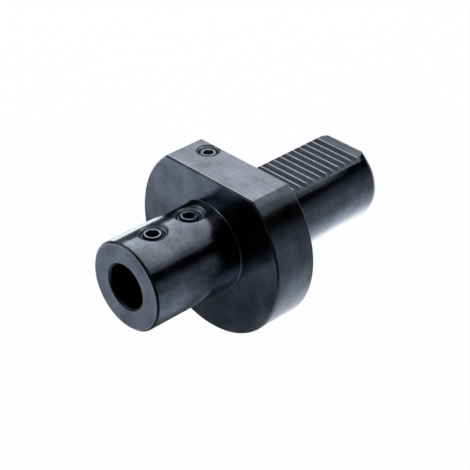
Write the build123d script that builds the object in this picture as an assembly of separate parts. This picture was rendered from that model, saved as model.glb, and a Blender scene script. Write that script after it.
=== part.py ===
from build123d import *

import os
from math import radians, tan

# A holder for round-shank drills and boring bars, with a serrated 40 mm shank for a lathe turret.
# The origin is on the tool axis, in the middle of the flange's contact face.
# The nose points along -Y and the shank along +Y. The clamp screws, the flange's flat and the
# serrations face +Z. Lengths are in millimetres and angles in degrees.

# Nose
nose_diameter = 40.0
nose_reach = 67.0  # from the contact face to the nose's front face
nose_chamfer = 0.9
nose_root_fillet = 0.5

# Tool bore
bore_diameter = 20.0
bore_depth = 80.0
bore_mouth_chamfer = 0.8
drill_point_angle = 118.0

# Flange
flange_diameter = 83.0
flange_thickness = 21.0
flange_front_chamfer = 0.7
flange_rear_chamfer = 0.5
flat_height = 32.5  # from the tool axis to the flat on the rim
flat_edge_chamfer = 0.7

# Shank
shank_diameter = 40.0
shank_length = 63.0
lead_in_length = 2.7
lead_in_angle = 15.0
shank_end_chamfer = 0.3
centre_hole_diameter = 10.0
centre_hole_pilot = 4.0
centre_hole_pilot_depth = 3.0
centre_hole_angle = 60.0

# Serration of the shank: straight teeth across it, with narrow crests
serration_height = 36.0  # from the shank's underside to the crests
tooth_pitch = 4.0
tooth_reference = 29.7  # from the contact face to the middle of one crest
tooth_angle = 90.0
crest_width = 0.8
root_width = 0.4
first_crest_setback = 8.0  # from the contact face to the first crest, at least
end_land = 5.0  # plain land past the last crest, at least

# Contact face: a shallow relief round the shank keeps the face clear of the ring
contact_relief_diameter = 43.0
contact_relief_depth = 0.3

# Sealing ring behind the contact face
ring_section = 3.0
ring_corner = 0.8
ring_groove_diameter = 36.0
ring_groove_width = 3.8
ring_groove_slope = 1.0
ring_clearance = 0.05

# Clamp screws, in line along the top of the nose
clamp_thread = 10.0
clamp_length = 8.0
clamp_socket = 5.0
clamp_socket_depth = 4.0
clamp_face_diameter = 7.6
clamp_point_diameter = 7.0
clamp_front_setback = 15.3  # from the nose's front face to the front screw
clamp_spacing = 20.0
clamp_countersink = 14.2
clamp_screw_depth = 0.8  # the screws' tops below the crown of the nose, as in the photograph
front_socket_turn = 46.0
rear_socket_turn = 16.0

# Coolant passage: an inlet in the contact face, and a side port in the flat that a screw closes
port_thread = 8.0
port_screw_length = 6.0
port_socket = 4.0
port_socket_depth = 3.0
port_face_diameter = 6.2
port_point_diameter = 5.5
port_countersink = 10.4
port_screw_depth = 0.7  # the screw's top below the flat
port_side_offset = 16.4  # from the tool axis, towards -X
port_setback = 5.4  # from the contact face
port_drill = 6.8
port_drill_margin = 1.0  # the drilling runs past the inlet by this much
port_socket_turn = 46.0
inlet_drill = 6.0
inlet_height = 22.5  # above the tool axis

# Fits
thread_clearance = 0.05

nose_radius = nose_diameter / 2
bore_radius = bore_diameter / 2
flange_radius = flange_diameter / 2
shank_radius = shank_diameter / 2
clamp_front_y = -nose_reach + clamp_front_setback
clamp_rear_y = clamp_front_y + clamp_spacing
overrun = 1.0  # how far cutters run past the faces they open


def turned_blank():
    """The nose, flange and shank as they leave the lathe, with the sealing ring's groove."""
    lead_in_drop = lead_in_length * tan(radians(lead_in_angle))
    groove_radius = ring_groove_diameter / 2
    relief_radius = contact_relief_diameter / 2
    fillet_start = (-flange_thickness - nose_root_fillet, nose_radius)
    fillet_end = (-flange_thickness, nose_radius + nose_root_fillet)
    nose = Polyline(
        (-flange_thickness, 0),
        (-nose_reach, 0),
        (-nose_reach, nose_radius - nose_chamfer),
        (-nose_reach + nose_chamfer, nose_radius),
        fillet_start,
    )
    root = CenterArc((fillet_start[0], fillet_end[1]), nose_root_fillet, -90, 90)
    flange_and_shank = Polyline(
        fillet_end,
        (-flange_thickness, flange_radius - flange_front_chamfer),
        (-flange_thickness + flange_front_chamfer, flange_radius),
        (-flange_rear_chamfer, flange_radius),
        (0, flange_radius - flange_rear_chamfer),
        (0, relief_radius),
        (-contact_relief_depth, relief_radius),
        (-contact_relief_depth, groove_radius),
        (ring_groove_width, groove_radius),
        (ring_groove_width + ring_groove_slope, shank_radius),
        (shank_length - lead_in_length, shank_radius),
        (shank_length - shank_end_chamfer, shank_radius - lead_in_drop),
        (shank_length, shank_radius - lead_in_drop - shank_end_chamfer),
        (shank_length, 0),
        (-flange_thickness, 0),
    )
    half_section = Plane.YZ * make_face([nose, root, flange_and_shank])
    return revolve(half_section, Axis.Y)


def flat_cutter():
    """What the mill takes off the rim, with a small chamfer along both ends of the flat."""
    lower = flat_height - flat_edge_chamfer - overrun
    upper = flange_radius + overrun
    front = -flange_thickness - overrun
    section = Polyline(
        (front, lower),
        (-flange_thickness + flat_edge_chamfer, flat_height),
        (-flat_edge_chamfer, flat_height),
        (overrun, lower),
        (overrun, upper),
        (front, upper),
        close=True,
    )
    return extrude(Plane.YZ * make_face(section), flange_radius, both=True)


def serration_cutter():
    """The space over the teeth. Its front slope ends in the sealing ring's groove.

    Past the last crest a plain land runs to the shank's end.
    """
    crest_z = serration_height - shank_radius
    flank_slope = tan(radians(tooth_angle / 2))
    flank_run = (tooth_pitch - crest_width - root_width) / 2
    root_z = crest_z - flank_run / flank_slope
    top_z = shank_radius + overrun
    crests_before = int((tooth_reference - first_crest_setback) // tooth_pitch)
    crests_after = int((shank_length - end_land - tooth_reference) // tooth_pitch)
    first_crest = tooth_reference - crests_before * tooth_pitch
    first_root = first_crest - tooth_pitch / 2 - root_width / 2
    outline = [(first_root - (top_z - root_z) * flank_slope, top_z)]
    for tooth in range(-crests_before, crests_after + 1):
        crest_start = tooth_reference + tooth * tooth_pitch - crest_width / 2
        crest_end = crest_start + crest_width if tooth < crests_after else shank_length + overrun
        outline += [
            (crest_start - flank_run - root_width, root_z),
            (crest_start - flank_run, root_z),
            (crest_start, crest_z),
            (crest_end, crest_z),
        ]
    outline.append((shank_length + overrun, top_z))
    section = make_face(Polyline(*outline, close=True))
    return extrude(Plane.YZ * section, shank_radius, both=True)


def tool_bore_cutter():
    """The blind bore for the tool's shank, with its mouth chamfer and drill point."""
    mouth = -nose_reach
    bottom = mouth + bore_depth
    point = bottom + bore_radius / tan(radians(drill_point_angle / 2))
    section = Polyline(
        (mouth - overrun, 0),
        (mouth - overrun, bore_radius + bore_mouth_chamfer + overrun),
        (mouth + bore_mouth_chamfer, bore_radius),
        (bottom, bore_radius),
        (point, 0),
        close=True,
    )
    return revolve(Plane.YZ * make_face(section), Axis.Y)


def centre_hole_cutter():
    """The turning centre in the shank's end face."""
    slope = tan(radians(centre_hole_angle / 2))
    mouth_radius = centre_hole_diameter / 2
    pilot_radius = centre_hole_pilot / 2
    cone_end = shank_length - (mouth_radius - pilot_radius) / slope
    pilot_end = cone_end - centre_hole_pilot_depth
    section = Polyline(
        (shank_length + overrun, 0),
        (shank_length + overrun, mouth_radius + overrun * slope),
        (cone_end, pilot_radius),
        (pilot_end, pilot_radius),
        (pilot_end - pilot_radius / tan(radians(drill_point_angle / 2)), 0),
        close=True,
    )
    return revolve(Plane.YZ * make_face(section), Axis.Y)


def screw_hole_cutter(thread, countersink, depth):
    """A countersunk hole for a set screw. Its mouth is at z = 0 and it runs down along -Z."""
    hole_radius = thread / 2 + thread_clearance
    sink_radius = countersink / 2 + overrun
    section = Polyline(
        (0, overrun),
        (sink_radius, overrun),
        (hole_radius, overrun + hole_radius - sink_radius),
        (hole_radius, -depth),
        (0, -depth),
        close=True,
    )
    return revolve(Plane.XZ * make_face(section), Axis.Z)


def coolant_port_cutter():
    """The threaded port in the flat, drilled on down past the coolant inlet."""
    thread_depth = port_screw_depth + port_screw_length
    drill_depth = flat_height - inlet_height + inlet_drill / 2 + port_drill_margin
    drilling = Cylinder(port_drill / 2, drill_depth, align=(Align.CENTER, Align.CENTER, Align.MAX))
    port = screw_hole_cutter(port_thread, port_countersink, thread_depth) + drilling
    return Pos(-port_side_offset, -port_setback, flat_height) * port


def coolant_inlet_cutter():
    """The inlet in the contact face, which runs in as far as the port's axis."""
    section = Pos(-port_side_offset, inlet_height) * Circle(inlet_drill / 2)
    return extrude(Plane.XZ.offset(-overrun) * section, port_setback + overrun)


def holder_body():
    """The one-piece body: serrated shank, flange and nose."""
    clamp_hole = screw_hole_cutter(clamp_thread, clamp_countersink, nose_radius)
    body = turned_blank()
    body -= flat_cutter()
    body -= serration_cutter()
    body -= tool_bore_cutter()
    body -= centre_hole_cutter()
    body -= Pos(0, clamp_front_y, nose_radius) * clamp_hole
    body -= Pos(0, clamp_rear_y, nose_radius) * clamp_hole
    body -= coolant_port_cutter()
    body -= coolant_inlet_cutter()
    return body


def set_screw(thread, length, face, point, socket, socket_depth, socket_turn):
    """A headless screw with a hexagon socket. Its top face is at z = 0 and it hangs along -Z."""
    radius = thread / 2
    face_chamfer = radius - face / 2
    point_chamfer = radius - point / 2
    section = Polyline(
        (0, 0),
        (face / 2, 0),
        (radius, -face_chamfer),
        (radius, -length + point_chamfer),
        (point / 2, -length),
        (0, -length),
        close=True,
    )
    blank = revolve(Plane.XZ * make_face(section), Axis.Z)
    hexagon = Rot(0, 0, socket_turn) * RegularPolygon(socket / 2, 6, major_radius=False)
    return blank - extrude(hexagon, -socket_depth)


def clamp_screw(y, socket_turn):
    """A clamp screw in the nose, as deep as the photograph shows it."""
    screw = set_screw(
        clamp_thread,
        clamp_length,
        clamp_face_diameter,
        clamp_point_diameter,
        clamp_socket,
        clamp_socket_depth,
        socket_turn,
    )
    return Pos(0, y, nose_radius - clamp_screw_depth) * screw


def port_screw():
    """The screw that closes the coolant port in the flange's flat."""
    screw = set_screw(
        port_thread,
        port_screw_length,
        port_face_diameter,
        port_point_diameter,
        port_socket,
        port_socket_depth,
        port_socket_turn,
    )
    return Pos(-port_side_offset, -port_setback, flat_height - port_screw_depth) * screw


def sealing_ring():
    """The moulded rubber ring at the root of the shank, in its groove, with its outer corners cut."""
    inner = ring_groove_diameter / 2 + ring_clearance
    outer = inner + ring_section
    front = ring_clearance - contact_relief_depth
    rear = front + ring_section
    section = Polyline(
        (front, inner),
        (rear, inner),
        (rear, outer - ring_corner),
        (rear - ring_corner, outer),
        (front + ring_corner, outer),
        (front, outer - ring_corner),
        close=True,
    )
    return revolve(Plane.YZ * make_face(section), Axis.Y)


nodes = {
    "holder_body": holder_body(),
    "clamp_screw_front": clamp_screw(clamp_front_y, front_socket_turn),
    "clamp_screw_rear": clamp_screw(clamp_rear_y, rear_socket_turn),
    "coolant_port_screw": port_screw(),
    "shank_sealing_ring": sealing_ring(),
}

os.makedirs("parts", exist_ok=True)
for name, shape in nodes.items():
    export_step(shape, f"parts/{name}.step")
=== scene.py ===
import math
from collections import namedtuple

import bmesh
import bpy
from mathutils import Euler, Matrix, Vector


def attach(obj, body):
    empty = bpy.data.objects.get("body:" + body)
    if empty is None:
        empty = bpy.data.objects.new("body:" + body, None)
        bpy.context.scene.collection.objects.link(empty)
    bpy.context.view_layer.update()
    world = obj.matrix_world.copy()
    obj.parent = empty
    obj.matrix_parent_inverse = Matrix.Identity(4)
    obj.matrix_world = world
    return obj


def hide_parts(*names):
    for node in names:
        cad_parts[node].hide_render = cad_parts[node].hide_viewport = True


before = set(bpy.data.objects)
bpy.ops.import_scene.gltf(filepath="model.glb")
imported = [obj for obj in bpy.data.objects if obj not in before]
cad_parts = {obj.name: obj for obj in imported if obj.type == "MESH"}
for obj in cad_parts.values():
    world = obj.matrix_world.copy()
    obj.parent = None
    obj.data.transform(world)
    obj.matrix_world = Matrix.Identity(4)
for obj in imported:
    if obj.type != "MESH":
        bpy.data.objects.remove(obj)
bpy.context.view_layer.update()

# Meshes are made in millimetres and scaled when they are finished. Angles are in degrees.
MM = 0.001

# The nose, the tool bore and the flange
nose_radius, nose_reach, nose_chamfer, root_fillet = 20.0, 67.0, 0.9, 0.5
bore_radius, bore_depth, bore_chamfer, bore_point_angle = 10.0, 80.0, 0.8, 59.0
flange_radius, flange_thickness = 41.5, 21.0
flange_front_chamfer, flange_rear_chamfer = 0.7, 0.5
flat_height, flat_chamfer = 32.5, 0.7

# The shank, its teeth and the centre hole in its end
shank_radius, shank_length = 20.0, 63.0
lead_in_length, lead_in_angle, shank_end_chamfer = 2.7, 15.0, 0.3
groove_radius, groove_width, groove_slope = 18.0, 3.8, 1.0
relief_radius, relief_depth = 21.5, 0.3
crest_height, tooth_pitch, tooth_reference = 16.0, 4.0, 29.7
crest_width, root_width, crests_before, crests_after = 0.8, 0.4, 5, 7
hole_mouth, hole_cone_angle = 5.0, 30.0
hole_pilot, hole_pilot_depth, hole_pilot_point = 2.0, 3.0, 1.2

# The sealing ring: its inner and outer radius, its ends along Y and its outer corners
ring_low, ring_high, ring_near, ring_far, ring_round = 18.05, 21.05, -0.25, 2.75, 0.8

# Threads: pitch, outer radius and core radius
clamp_thread = (1.5, 4.98, 4.10)
port_thread = (1.25, 3.98, 3.25)
# Places along the pitch where the thread's crest starts and ends, its flanks' middles and its root
thread_shares = (0.0, 0.125, 0.28, 0.4375, 0.6875, 0.84)
thread_room, thread_end_step = 0.06, 0.2

# Set screws: top, length, thread, radii of the flat round the socket and of the point, the
# socket's width across flats, mouth radius and depth, and the look of the flat
Screw = namedtuple("Screw", "top length thread face point socket look")
clamp_screw = Screw(19.2, 8.0, clamp_thread, 3.45, 3.5, (5.0, 2.98, 4.0), "socket")
port_screw = Screw(31.8, 6.0, port_thread, 3.1, 2.75, (4.0, 2.4, 3.0), "plug")
socket_rim_slope, socket_point = 0.7, 0.8

# The screws' holes: place, turn of the hexagon, countersink's diameter and the ends of the thread
clamp_places = {"front": (-51.7, 46.0), "rear": (-31.7, 16.0)}
clamp_sink, clamp_hole_ends = 14.2, (5.0, 22.5)
port_x, port_y, port_turn = -16.4, -5.4, 46.0
port_sink, port_hole_ends = 10.4, (24.2, 35.0)
hole_places = [(0, y) for y, _ in clamp_places.values()] + [(port_x, port_y)]
sink_overlap = 0.3

# The coolant drilling under the port and the inlet behind it
drill_radius, drill_low, drill_high = 3.4, 18.5, 25.4
inlet_radius, inlet_height = 3.0, 22.5

# The width of the strips along edges painted as worn, with a painted glint, how far cutters stand
# out of the body, and the angle from which an edge is sharp
wear_and_glint_width, overrun, sharp_angle = 0.35, 1.0, 30.0

# How many sides round forms have
body_sides, bore_sides, ring_sides = 288, 192, 192
cone_sides, screw_sides, drill_sides, thread_sides = 96, 96, 72, 72
fillet_steps, corner_steps = 6, 8


# Mesh building


def new_object(name, points, faces):
    mesh = bpy.data.meshes.new(name)
    mesh.from_pydata(points, [], faces)
    mesh.update()
    obj = bpy.data.objects.new(name, mesh)
    bpy.context.scene.collection.objects.link(obj)
    return obj


def along_y(along, radius, angle):
    return (radius * math.sin(angle), along, radius * math.cos(angle))


def along_z(along, radius, angle):
    return (radius * math.cos(angle), radius * math.sin(angle), along)


def strip(low, high, i):
    """The face between the i-th corners of two rings and their next ones, without repeats."""
    j = (i + 1) % len(low)
    return list(dict.fromkeys([low[i], low[j], high[j], high[i]]))


def turned(name, profile, place, segments):
    """A closed turned solid. profile is (place on the axis, radius), with radius 0 at its ends."""
    points, faces, rings = [], [], []
    for along, radius in profile:
        count = segments if radius > 0 else 1
        rings.append([len(points) + i for i in range(count)] * (segments // count))
        points += [place(along, radius, 2 * math.pi * i / segments) for i in range(count)]
    for low, high in zip(rings, rings[1:]):
        faces += [strip(low, high, i) for i in range(segments)]
    return new_object(name, points, [f for f in faces if len(f) > 2])


def prism(name, outline, half_width):
    """A closed bar along X. outline is (y, z)."""
    count = len(outline)
    points = [(x, y, z) for x in (-half_width, half_width) for y, z in outline]
    sides = [[i, (i + 1) % count, (i + 1) % count + count, i + count] for i in range(count)]
    return new_object(name, points, [list(range(count)), list(range(count, 2 * count))] + sides)


def threaded(name, low, high, thread, ends, turn, segments, socket=None):
    """A closed threaded rod along Z, with 45 degree chamfers down to the radii in ends.

    socket, for a screw, is (across flats, mouth radius, depth), and turn is the hexagon's.
    """
    pitch, major, minor = thread
    half = (major + minor) / 2
    rows = list(zip(thread_shares, (major, major, half, minor, minor, half)))
    first = math.floor(low / pitch) - 3
    turns = math.ceil(high / pitch) - first + 3
    angles = [math.radians(turn) + 2 * math.pi * j / segments for j in range(segments)]
    points, faces, known = [], [], {}

    def vertex(j, along, radius):
        key = (j, round(along, 5), round(radius, 5))
        if key not in known:
            known[key] = len(points)
            points.append(along_z(along, radius, angles[j]))
        return known[key]

    def corner(j, k):
        lap, column = divmod(j, segments)
        k += lap * len(rows)
        share, radius = rows[k % len(rows)]
        along = pitch * (first + k // len(rows) + share + angles[column] / (2 * math.pi))
        along = min(max(along, low), high)
        radius = min(radius, ends[0] + along - low, ends[1] + high - along)
        return vertex(column, along, radius)

    for j in range(segments):
        for k in range(len(rows) * turns):
            face = [corner(j, k), corner(j + 1, k), corner(j + 1, k + 1), corner(j, k + 1)]
            face = list(dict.fromkeys(face))
            if len(face) > 2:
                faces.append(face)

    def close(rings):
        for inner, outer in zip(rings, rings[1:]):
            faces.extend(strip(inner, outer, j) for j in range(segments))

    centre = len(points)
    points.append((0, 0, low))
    close([[centre] * segments, [vertex(j, low, ends[0]) for j in range(segments)]])
    top = [[vertex(j, high, ends[1]) for j in range(segments)]]
    bottom = high
    if socket:
        flats, mouth, depth = socket
        offs = [math.radians((360 * j / segments) % 60 - 30) for j in range(segments)]
        walls = [(j, flats / 2 / math.cos(off)) for j, off in enumerate(offs)]
        top.append([vertex(j, high, mouth) for j in range(segments)])
        top.append([vertex(j, high - (mouth - r) * socket_rim_slope, r) for j, r in walls])
        top.append([vertex(j, high - depth, r) for j, r in walls])
        bottom = high - depth - socket_point
    points.append((0, 0, bottom))
    top.append([len(points) - 1] * segments)
    close(top)
    return new_object(name, points, faces)


def fix_normals(obj):
    mesh = bmesh.new()
    mesh.from_mesh(obj.data)
    bmesh.ops.recalc_face_normals(mesh, faces=mesh.faces)
    mesh.to_mesh(obj.data)
    mesh.free()


def cut(obj, cutters):
    """Takes each cutter out of the object and removes the cutter."""
    fix_normals(obj)
    for cutter in cutters:
        fix_normals(cutter)
        step = obj.modifiers.new("cut", "BOOLEAN")
        step.operation = "DIFFERENCE"
        step.solver = "EXACT"
        step.object = cutter
        graph = bpy.context.evaluated_depsgraph_get()
        mesh = bpy.data.meshes.new_from_object(obj.evaluated_get(graph))
        obj.modifiers.clear()
        obj.data = mesh
        bpy.data.objects.remove(cutter)
    return obj


def shift(obj, x, y, z=0.0):
    for v in obj.data.vertices:
        v.co += Vector((x, y, z))
    return obj


def finish_piece(obj, body, node):
    for v in obj.data.vertices:
        v.co *= MM
    obj.data.shade_smooth()
    obj.data.set_sharp_from_angle(angle=math.radians(sharp_angle))
    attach(obj, body)
    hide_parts(node)


# The body


def blank():
    drop = lead_in_length * math.tan(math.radians(lead_in_angle))
    front = -flange_thickness
    root = []
    for i in range(fillet_steps + 1):
        a = math.radians(90 * i / fillet_steps)
        y = front - root_fillet + root_fillet * math.sin(a)
        root.append((y, nose_radius + root_fillet - root_fillet * math.cos(a)))
    profile = [
        (-nose_reach, 0),
        (-nose_reach, nose_radius - nose_chamfer - wear_and_glint_width),
        (-nose_reach, nose_radius - nose_chamfer),
        (-nose_reach + nose_chamfer, nose_radius),
        *root,
        (front, flange_radius - flange_front_chamfer),
        (front + flange_front_chamfer, flange_radius),
        (-flange_rear_chamfer, flange_radius),
        (0, flange_radius - flange_rear_chamfer),
        (0, relief_radius),
        (-relief_depth, relief_radius),
        (-relief_depth, groove_radius),
        (groove_width, groove_radius),
        (groove_width + groove_slope, shank_radius),
        (shank_length - lead_in_length, shank_radius),
        (shank_length - shank_end_chamfer, shank_radius - drop),
        (shank_length, shank_radius - drop - shank_end_chamfer),
        (shank_length, 0),
    ]
    return turned("holder", profile, along_y, body_sides)


def flat_cutter():
    lower, upper = flat_height - flat_chamfer - overrun, flange_radius + overrun
    front = -flange_thickness
    outline = [
        (front - overrun, lower),
        (front + flat_chamfer, flat_height),
        (front + flat_chamfer + wear_and_glint_width, flat_height),
        (-flat_chamfer, flat_height),
        (overrun, lower),
        (overrun, upper),
        (front - overrun, upper),
    ]
    return prism("flat_cutter", outline, flange_radius)


def serration_cutter():
    run = (tooth_pitch - crest_width - root_width) / 2
    top, root_z = shank_radius + overrun, crest_height - run
    first_root = tooth_reference - (crests_before + 0.5) * tooth_pitch - root_width / 2
    outline = [(first_root - (top - root_z), top)]
    for tooth in range(-crests_before, crests_after + 1):
        start = tooth_reference + tooth * tooth_pitch - crest_width / 2
        end = start + crest_width if tooth < crests_after else shank_length + overrun
        outline += [(start - run - root_width, root_z), (start - run, root_z)]
        outline += [(start, crest_height), (start + wear_and_glint_width, crest_height), (end, crest_height)]
    outline.append((shank_length + overrun, top))
    return prism("serration_cutter", outline, shank_radius)


def bore_cutter():
    mouth, bottom = -nose_reach, bore_depth - nose_reach
    profile = [
        (mouth - overrun, 0),
        (mouth - overrun, bore_radius + bore_chamfer + overrun),
        (mouth + bore_chamfer, bore_radius),
        (bottom, bore_radius),
        (bottom + bore_radius / math.tan(math.radians(bore_point_angle)), 0),
    ]
    return turned("bore_cutter", profile, along_y, bore_sides)


def centre_hole_cutter():
    slope = math.tan(math.radians(hole_cone_angle))
    cone_end = shank_length - (hole_mouth - hole_pilot) / slope
    pilot_end = cone_end - hole_pilot_depth
    profile = [
        (shank_length + overrun, 0),
        (shank_length + overrun, hole_mouth + overrun * slope),
        (cone_end, hole_pilot),
        (pilot_end, hole_pilot),
        (pilot_end - hole_pilot_point, 0),
    ]
    return turned("centre_hole_cutter", profile, along_y, cone_sides)


def countersink_cutter(diameter, height, hole_radius):
    """A 90 degree cone that meets the surface at the diameter and ends inside the hole."""
    wide, narrow = diameter / 2 + overrun, hole_radius - sink_overlap
    profile = [
        (height + overrun, 0),
        (height + overrun, wide),
        (height + overrun - wide + narrow, narrow),
        (height - diameter / 2, 0),
    ]
    return turned("countersink_cutter", profile, along_z, cone_sides)


def thread_cutter(ends, thread):
    pitch, major, minor = thread
    radius = minor - thread_end_step
    roomy = (pitch, major + thread_room, minor + thread_room)
    return threaded("thread_cutter", *ends, roomy, (radius, radius), 0.0, thread_sides)


def screw_hole_cutters(x, y, height, sink, ends, thread):
    sink = countersink_cutter(sink, height, thread[2])
    return [shift(sink, x, y), shift(thread_cutter(ends, thread), x, y)]


def drilling_cutter(name, low, high, radius, place):
    """A plain cylinder with flat ends."""
    profile = [(low, 0), (low, radius), (high, radius), (high, 0)]
    return turned(name, profile, place, drill_sides)


def holder():
    cutters = [flat_cutter(), serration_cutter(), bore_cutter(), centre_hole_cutter()]
    for y, _ in clamp_places.values():
        hole = (nose_radius, clamp_sink, clamp_hole_ends, clamp_thread)
        cutters += screw_hole_cutters(0, y, *hole)
    hole = (flat_height, port_sink, port_hole_ends, port_thread)
    cutters += screw_hole_cutters(port_x, port_y, *hole)
    drill = drilling_cutter("drill", drill_low, drill_high, drill_radius, along_z)
    inlet = drilling_cutter("inlet", port_y, overrun, inlet_radius, along_y)
    cutters += [shift(drill, port_x, port_y), shift(inlet, port_x, 0, inlet_height)]
    return cut(blank(), cutters)


def sealing_ring():
    """A ring with round outer corners and a flat inside, which lies in the groove."""
    section = [(ring_near, ring_low)]
    middle = ring_high - ring_round
    for y, start in ((ring_near + ring_round, 180), (ring_far - ring_round, 90)):
        for i in range(corner_steps + 1):
            a = math.radians(start - 90 * i / corner_steps)
            section.append((y + ring_round * math.cos(a), middle + ring_round * math.sin(a)))
    section.append((ring_far, ring_low))
    count = len(section)
    points, faces = [], []
    for i in range(ring_sides):
        points += [along_y(y, r, 2 * math.pi * i / ring_sides) for y, r in section]
        here, there = i * count, (i + 1) % ring_sides * count
        for k in range(count):
            m = (k + 1) % count
            faces.append([here + k, there + k, there + m, here + m])
    obj = new_object("sealing_ring", points, faces)
    fix_normals(obj)
    return obj


# Materials


class Nodes:
    """Adds nodes to a tree and joins them. Most methods give back the socket a value leaves by."""

    def __init__(self, tree):
        self.tree = tree
        tree.nodes.clear()

    def add(self, kind, inputs=None, **settings):
        node = self.tree.nodes.new(kind)
        for key, value in settings.items():
            setattr(node, key, value)
        for key, value in (inputs or {}).items():
            if isinstance(value, bpy.types.NodeSocket):
                self.tree.links.new(value, node.inputs[key])
            else:
                node.inputs[key].default_value = value
        return node

    def math(self, operation, a, b=0.0):
        return self.add("ShaderNodeMath", {0: a, 1: b}, operation=operation).outputs[0]

    def product(self, first, *others):
        for other in others:
            first = self.math("MULTIPLY", first, other)
        return first

    def total(self, first, *others):
        for other in others:
            first = self.math("ADD", first, other)
        return first

    def length(self, a, b):
        return self.math("SQRT", self.total(self.product(a, a), self.product(b, b)))

    def blend(self, a, b, share):
        """a and b added up, with the given share of b."""
        return self.total(self.product(a, 1.0 - share), self.product(b, share))

    def span(self, value, low, high, start=0.0, end=1.0):
        """low up to the value start, high from the value end on, and even in between."""
        inputs = {0: value, 1: start, 2: end, 3: low, 4: high}
        return self.add("ShaderNodeMapRange", inputs).outputs["Result"]

    def place(self, kind="Object"):
        return self.add("ShaderNodeTexCoord").outputs[kind]

    def axes(self, place):
        return list(self.add("ShaderNodeSeparateXYZ", {0: place}).outputs)

    def noise(self, place, pattern):
        inputs = {"Vector": place, **dict(zip(("Scale", "Detail", "Roughness"), pattern))}
        return self.add("ShaderNodeTexNoise", inputs).outputs[0]

    def colours(self, share, first, second):
        inputs = {0: share, 6: first, 7: second}
        node = self.add("ShaderNodeMix", inputs, data_type="RGBA", clamp_factor=True)
        return node.outputs[2]

    def bump(self, strength, distance, height, **more):
        inputs = {"Strength": strength, "Distance": distance, "Height": height, **more}
        return self.add("ShaderNodeBump", inputs).outputs[0]

    def surface(self, inputs):
        shader = self.add("ShaderNodeBsdfPrincipled", inputs)
        self.add("ShaderNodeOutputMaterial", {0: shader.outputs[0]})

    def glow(self, colour, strength):
        inputs = {"Color": (*colour, 1), "Strength": strength}
        return self.add("ShaderNodeEmission", inputs).outputs[0]

    def mix(self, share, first, second):
        return self.add("ShaderNodeMixShader", {0: share, 1: first, 2: second}).outputs[0]


def new_material(name):
    material = bpy.data.materials.new(name)
    material.use_nodes = True
    return material, Nodes(material.node_tree)


steel = (0.150, 0.172, 0.224)

# Noise patterns, for places in metres: scale, detail and roughness
marks_noise, speck_noise = (1300.0, 3.0, 0.65), (1500.0, 3.0, 0.7)
cloud_noise, swell_noise, rubber_noise = (100.0, 6.0, 0.62), (150.0, 2.0, 0.5), (900.0, 4.0, 0.5)
# Shares of the specks in the colour and in the grain, and how much slower tool marks change along
# themselves than across
speck_share, speck_grain_share, mark_stretch = 0.28, 0.4, 0.02
# Where the mixed patterns reach the dark and the pale colour, and how far the gloss strays
tint_low, tint_high, gloss_spread = -0.8, 1.8, 0.11
# Heights of the swell, the grain and the rubber's grain in metres, and their strengths
swell_height, grain_height, rubber_height = 0.00004, 0.00002, 0.00003
swell_strength, grain_strength, rubber_strength = 1.0, 0.12, 0.3
# The countersinks' rings: where they start and end and their pitch in metres, and how strong the
# last one is
rings_start, rings_end, rings_pitch, rings_last = 0.0046, 0.0064, 0.00115, 0.6


def hole_rings(n, x, y):
    """Rings round each screw's hole, which weaken outwards."""
    reach = 1.0
    for hole_x, hole_y in hole_places:
        off_x, off_y = n.math("SUBTRACT", x, hole_x * MM), n.math("SUBTRACT", y, hole_y * MM)
        reach = n.math("MINIMUM", n.length(off_x, off_y), reach)
    turns = n.product(n.math("SUBTRACT", reach, rings_start), 2 * math.pi / rings_pitch)
    depth = n.product(
        n.span(n.math("COSINE", turns), 1.0, 0.0, -1.0, 1.0),
        n.span(reach, 1.0, rings_last, rings_start, rings_end),
    )
    return n.math("SUBTRACT", 1.0, depth)


def tool_marks(n, marks, x, y, z):
    """Rings round the tool axis, lines along X, or rings round the screws' holes."""
    if marks == "holes":
        return hole_rings(n, x, y)
    slow = n.product(x, mark_stretch)
    inputs = {0: y, 1: n.length(x, z), 2: slow} if marks == "rings" else {0: y, 1: slow, 2: z}
    return n.noise(n.add("ShaderNodeCombineXYZ", inputs).outputs[0], marks_noise)


def oxide(name, shade, rough, marks="rings", grain=1.0, contrast=0.65, streaks=0.22):
    """Black oxide on machined steel: tool marks, cloudy colour and uneven gloss.

    shade is the share of the steel's colour, contrast how far the colour strays from it, and
    streaks the share of the tool marks in that. grain is the strength of the fine bumps.
    """
    material, n = new_material(name)
    place = n.place()
    lines = tool_marks(n, marks, *n.axes(place))
    cloud, speck = n.noise(place, cloud_noise), n.noise(place, speck_noise)
    mixed = n.blend(n.blend(cloud, speck, speck_share), lines, streaks)
    dark, pale = ([c * shade * k for c in steel] + [1.0] for k in (1 - contrast, 1 + contrast))
    swell = n.bump(swell_strength, swell_height, n.noise(place, swell_noise))
    height = n.blend(lines, speck, speck_grain_share)
    surface = {
        "Base Color": n.colours(n.span(mixed, tint_low, tint_high), dark, pale),
        "Metallic": 1.0,
        "Roughness": n.span(cloud, rough - gloss_spread, rough + gloss_spread),
        "Normal": n.bump(grain_strength * grain, grain_height, height, Normal=swell),
    }
    n.surface(surface)
    return material


def rubber():
    material, n = new_material("rubber")
    speck = n.noise(n.place(), rubber_noise)
    surface = {
        "Base Color": n.colours(speck, (0.012, 0.012, 0.013, 1), (0.026, 0.026, 0.028, 1)),
        "Roughness": n.span(speck, 0.55, 0.75),
        "Normal": n.bump(rubber_strength, rubber_height, speck),
    }
    n.surface(surface)
    return material


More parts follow.
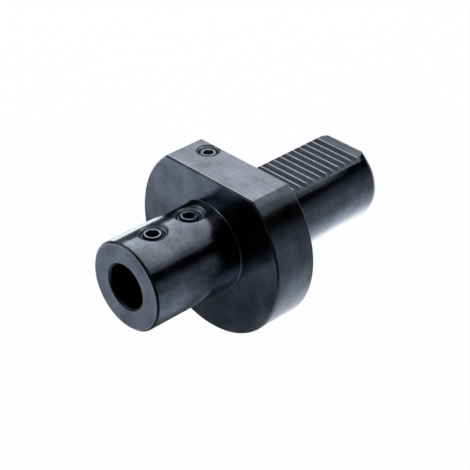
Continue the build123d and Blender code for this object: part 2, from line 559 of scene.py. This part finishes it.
looks = {
    "turned": oxide("oxide_turned", 1.0, 0.16),
    "faced": oxide("oxide_faced", 1.0, 0.21, "rings", 0.6, 0.5, 0.12),
    "milled": oxide("oxide_milled", 1.0, 0.26, "lines", 0.5),
    "ground": oxide("oxide_ground", 1.0, 0.16),
    "teeth": oxide("oxide_teeth", 0.92, 0.36, "lines", 1.0, 0.5, 0.8),
    "sink": oxide("oxide_sink", 1.5, 0.40, "holes", 1.0, 0.85, 0.6),
    # Crest lands behind the worn strip, painted darker than the oxide: painted shade that keeps
    # the painted glint thin
    "crest": oxide("oxide_crest_painted_shade", 0.45, 0.30, "lines"),
    # Worn edges, painted far paler than the oxide: wear with a painted glint
    "worn": oxide("wear_and_glint_edge", 2.1, 0.28, "rings", 1.0, 0.5),
    "chamfer": oxide("oxide_chamfer", 0.5, 0.40, "holes", 1.0, 0.9, 0.9),
    "land": oxide("oxide_land", 0.6, 0.42, "lines"),
    "edge": oxide("oxide_edge", 1.2, 0.42),
    "hole": oxide("oxide_hole", 0.7, 0.38),
    "screw": oxide("oxide_screw", 0.9, 0.30),
    # The set screws' faces round the socket, paler than the oxide: wear with a painted highlight
    "socket": oxide("worn_socket_and_painted_highlight", 1.5, 0.28),
    "plug": oxide("worn_plug", 1.1, 0.30),
}
body_looks = ["turned", "faced", "milled", "ground", "teeth", "crest"]
body_looks += ["land", "edge", "hole", "sink", "worn"]

# Limits between the body's looks, in millimetres
near = 0.01
hole_zone_radius, hole_zone_low, rear_start = 7.3, 9.0, -0.5
bore_zone_end, bore_mouth_end, centre_zone_start, hole_room = 30.0, 1.5, 45.0, 0.1
teeth_start, teeth_low, last_crest, land_start = 18.0, 14.0, 57.2, 58.5
flat_low, edge_radius, edge_end, ground_start = 32.0, 19.0, 2.0, 4.0
# The same for a set screw: its outer chamfer's depth, and the depth and width of the socket's rim
screw_chamfer, socket_rim_depth, socket_rim_width, face_room = 1.3, 0.5, 0.4, 0.2
# Limits of the part of a face's normal along one direction: square to it, nearly square, on the
# body's round surface, in the teeth, in a countersink, and on a chamfer
square, nearly_square, outward, toothed, sunk, chamfered = 0.99, 0.98, 0.97, 0.6, 0.5, (0.3, 0.9)


def paint(obj, names, choose):
    """Gives the mesh its materials, by what choose says of each face's centre and normal."""
    for name in names:
        obj.data.materials.append(looks[name])
    for face in obj.data.polygons:
        face.material_index = names.index(choose(face.center, face.normal))


def screw_hole_look(c, n, out):
    """The look of a face in a screw's hole or countersink, or None for a face elsewhere."""
    rear = n.y > square and c.y > rear_start
    if rear or c.z <= hole_zone_low or out >= outward or n.z >= nearly_square:
        return None
    for x, y in hole_places:
        off = math.hypot(c.x - x, c.y - y)
        if off < hole_zone_radius:
            wide = (clamp_thread if x == 0 else port_thread)[1]
            return "sink" if off > wide and n.z > sunk else "hole"
    return None


def round_hole_look(c, n, radius):
    """The look of a face in the tool bore or the centre hole, or None for a face elsewhere."""
    chamfer_end = bore_radius + bore_chamfer
    if c.y < -nose_reach + bore_mouth_end and bore_radius + near < radius < chamfer_end - near:
        return "land"
    in_bore = radius < chamfer_end + hole_room and c.y < bore_zone_end
    if in_bore and n.y > -nearly_square:
        return "hole"
    in_centre = radius < hole_mouth + hole_room and c.y > centre_zone_start
    return "hole" if in_centre and n.y < nearly_square else None


def tooth_look(c):
    if c.z <= crest_height - near:
        return "teeth"
    if c.y > land_start:
        return "land"
    start = (c.y - tooth_reference + crest_width / 2) % tooth_pitch
    # The front strip of each crest is worn, with a painted glint; the rest of the crest gets
    # painted shade
    return "worn" if start < wear_and_glint_width or c.y > last_crest else "crest"


def body_look(c, n):
    """The look of one face of the body, by its centre and normal."""
    radius = math.hypot(c.x, c.z)
    out = (n.x * c.x + n.z * c.z) / max(radius, 0.001)
    look = screw_hole_look(c, n, out) or round_hole_look(c, n, radius)
    if look:
        return look
    if c.y > teeth_start and c.z > teeth_low and abs(n.x) < 1 - square and abs(n.z) > toothed:
        return tooth_look(c)
    if abs(n.y) > square:
        rim = radius > nose_radius - nose_chamfer - wear_and_glint_width
        # The outer strip of the nose's face is worn, with a painted glint
        return "worn" if n.y < 0 and c.y < -nose_reach + near and rim else "faced"
    if n.z > square and c.z > flat_low:
        # The front strip of the flat is worn, with a painted glint
        return "worn" if c.y < -flange_thickness + flat_chamfer + wear_and_glint_width else "milled"
    if chamfered[0] < abs(n.y) < chamfered[1] and radius > edge_radius and c.y < edge_end:
        return "edge"
    return "ground" if c.y > ground_start else "turned"


def screw_look(screw):
    """Chooses the looks of a set screw's faces: its flat, its outer chamfer, its thread, and the
    rim and the walls of its socket.
    """

    def choose(c, n):
        radius = math.hypot(c.x, c.y)
        if c.z > screw.top - near and radius < screw.face + face_room:
            return screw.look
        if radius > screw.face:
            return "chamfer" if c.z > screw.top - screw_chamfer else "screw"
        rim = radius > screw.socket[1] - socket_rim_width or c.z > screw.top - socket_rim_depth
        return "screw" if rim else "hole"

    return choose


def set_screw(name, node, body, x, y, turn, screw):
    ends = (screw.point, screw.face)
    low = screw.top - screw.length
    obj = threaded(name, low, screw.top, screw.thread, ends, turn, screw_sides, screw.socket)
    fix_normals(obj)
    paint(obj, ["screw", screw.look, "hole", "chamfer"], screw_look(screw))
    finish_piece(shift(obj, x, y), body, node)


holder_piece = holder()
paint(holder_piece, body_looks, body_look)
finish_piece(holder_piece, "holder", "holder_body")
for place, (y, turn) in clamp_places.items():
    names = ("clamp_" + place, "clamp_screw_" + place, place + "_screw")
    set_screw(*names, 0, y, turn, clamp_screw)
set_screw("port_plug", "coolant_port_screw", "holder", port_x, port_y, port_turn, port_screw)
seal = sealing_ring()
seal.data.materials.append(rubber())
finish_piece(seal, "holder", "shank_sealing_ring")


# Floor, light and camera, in metres

cool_white, lamp_colour, floor_colour = (0.95, 0.97, 1), (1.0, 0.955, 0.89), (0.82, 0.84, 0.88, 1)
floor_radius, floor_sides, floor_camera_share = 0.9, 96, 0.98

# The key light: strips along Y on an arc over the object, from the left to the right
key_radiances = (1.95, 1.8, 1.65, 1.55, 1.35, 1.2, 1.07, 0.92, 0.66, 0.3)
key_first_angle, key_step, key_half_angle = -52, 10.5, 5.3
key_distance, key_y, key_length = 0.8 * math.sqrt(0.75), 0.4, 0.62


def seen_white(n, plain, camera_share, mirror_share, mirror_white=1.0):
    """Shows white to the camera, and to metal and glass a share of a cool glow whose strength is
    mirror_white, which on the floor is its painted reflection. All else sees plain.
    """
    path = n.add("ShaderNodeLightPath").outputs
    mirror = n.total(path["Is Glossy Ray"], path["Is Transmission Ray"])
    seen = n.mix(n.product(mirror, mirror_share), plain, n.glow(cool_white, mirror_white))
    white = n.glow((1, 1, 1), 1.0)
    return n.mix(n.product(path["Is Camera Ray"], camera_share), seen, white)


def painted_floor_reflection(n):
    """The floor's painted reflection: how bright metal sees each place of the floor, with painted
    pools of light, painted shade beside and before the object and a painted shadow of the flange.
    """
    x, y, _ = n.axes(n.place())

    def painted_patch(value, middle, size, strength=1.0):
        """A soft bump, which falls off at size from its middle; it paints the pools of light and
        the flange's shadow.
        """
        off = n.math("DIVIDE", n.math("SUBTRACT", value, middle), size)
        return n.product(n.math("EXPONENT", n.product(off, off, -1.0)), strength)

    # Painted light on the floor to the left, rising away from the object and brighter towards the
    # back
    left = n.product(
        n.span(n.length(x, y), 0.0, 1.7, 0.04, 0.32),
        n.span(x, 1.0, 0.0, -0.04, 0.03),
        n.span(y, 0.0, 1.0, -0.22, -0.12),
        n.span(y, 1.0, 0.86, -0.100, -0.075),
        n.span(y, 1.0, 1.7, -0.05, 0.05),
    )
    fading = n.math("MINIMUM", n.math("DIVIDE", 0.040, n.math("MAXIMUM", x, 0.001)), 0.9)
    # Painted shadow of the flange on the floor, along a slanting line beside it
    painted_flange_shadow = painted_patch(n.math("SUBTRACT", y, n.product(x, 0.55)), -0.035, 0.012, 0.92)
    # Painted light on the floor to the right, fading away from the object and dim before it
    right = n.product(
        n.math("MAXIMUM", fading, 0.42),
        n.span(n.total(x, n.product(y, 0.2)), 0.0, 1.0, -0.001, 0.019),
        n.span(y, 0.0, 1.0, -0.052, -0.040),
        n.span(y, 0.72, 1.0, -0.034, -0.020),
        n.span(y, 1.0, 0.68, 0.03, 0.06),
        n.math("SUBTRACT", 1.0, painted_flange_shadow),
    )
    # Painted pools of light under the shank and before the nose, and a faint painted light
    # everywhere but at the right
    painted_pool_under_shank = n.product(painted_patch(x, -0.02, 0.045, 1.2), painted_patch(y, 0.068, 0.045))
    painted_pool_before_nose = n.product(painted_patch(x, -0.022, 0.03, 0.26), painted_patch(y, -0.098, 0.022))
    return n.total(left, right, painted_pool_under_shank, painted_pool_before_nose, n.span(x, 0.12, 0.0, 0.03, 0.06))


def floor():
    angles = [2 * math.pi * i / floor_sides for i in range(floor_sides)]
    rim = [(floor_radius * math.cos(a), floor_radius * math.sin(a)) for a in angles]
    points = [(x, y, -flange_radius * MM) for x, y in rim]
    obj = new_object("floor", points, [list(range(floor_sides))])
    material, n = new_material("floor")
    lit = n.add("ShaderNodeBsdfDiffuse", {"Color": floor_colour}).outputs[0]
    # Metal and glass see the floor's painted reflection, not its lit colour
    seen = seen_white(n, lit, floor_camera_share, 1.0, painted_floor_reflection(n))
    n.add("ShaderNodeOutputMaterial", {0: seen})
    obj.data.materials.append(material)


def panel(name, place, width, height, radiance, aim=(0, 0, 0)):
    """A soft rectangular lamp, whose own brightness is radiance. Its height runs along Y."""
    lamp = bpy.data.lights.new(name, "AREA")
    lamp.shape = "RECTANGLE"
    lamp.size, lamp.size_y = width, height
    lamp.energy = radiance * math.pi * width * height
    lamp.color = lamp_colour
    obj = bpy.data.objects.new(name, lamp)
    obj.location = place
    back = (Vector(place) - Vector(aim)).normalized()
    up = (Vector((0, 1, 0)) - back * back.y).normalized()
    obj.rotation_euler = Matrix((up.cross(back), up, back)).transposed().to_euler()
    bpy.context.scene.collection.objects.link(obj)


def lamps():
    width = 2 * key_distance * math.tan(math.radians(key_half_angle))
    for i, radiance in enumerate(key_radiances):
        turn = math.radians(key_first_angle + key_step * i)
        place = (key_distance * math.sin(turn), key_y, key_distance * math.cos(turn))
        panel("key_%d" % i, place, width, key_length, radiance)
    panel("left", (-0.567, 0.408, 0.000), 0.08, 0.90, 2.0)
    panel("back", (-0.16, 0.69, 0.01), 0.10, 0.40, 1.2)
    panel("left_high", (-0.55, 0.15, 0.35), 0.40, 0.30, 1.5, (-0.10, 0.10, -0.04))
    panel("top", (-0.05, -0.05, 0.70), 0.30, 0.30, 3.4)
    panel("front_left", (-0.45, -0.41, 0.44), 0.50, 0.50, 0.42)


def surroundings():
    """A dim world, a little brighter near the horizon and behind the object."""
    world = bpy.data.worlds.new("studio")
    bpy.context.scene.world = world
    world.use_nodes = True
    n = Nodes(world.node_tree)
    _, y, z = n.axes(n.place("Generated"))
    dim = n.product(n.span(z, 0.18, 0.0, 0.04, 0.32), n.span(y, 0.1, 1.0, 0.1, 0.4))
    soft = n.add("ShaderNodeBackground", {"Color": (0.95, 0.98, 1, 1), "Strength": dim}).outputs[0]
    n.add("ShaderNodeOutputWorld", {0: seen_white(n, soft, 1.0, 0.0)})


def camera():
    data = bpy.data.cameras.new("camera")
    data.sensor_width = 36.0
    data.lens = 116.888
    data.clip_start, data.clip_end = 0.05, 10.0
    obj = bpy.data.objects.new("camera", data)
    obj.location = (0.395452, -0.386889, 0.352680)
    obj.rotation_euler = Euler([math.radians(a) for a in (57.1351, -0.1087, 46.1014)])
    bpy.context.scene.collection.objects.link(obj)
    bpy.context.scene.camera = obj


floor()
surroundings()
lamps()
camera()
bpy.context.scene.view_settings.view_transform = "Standard"
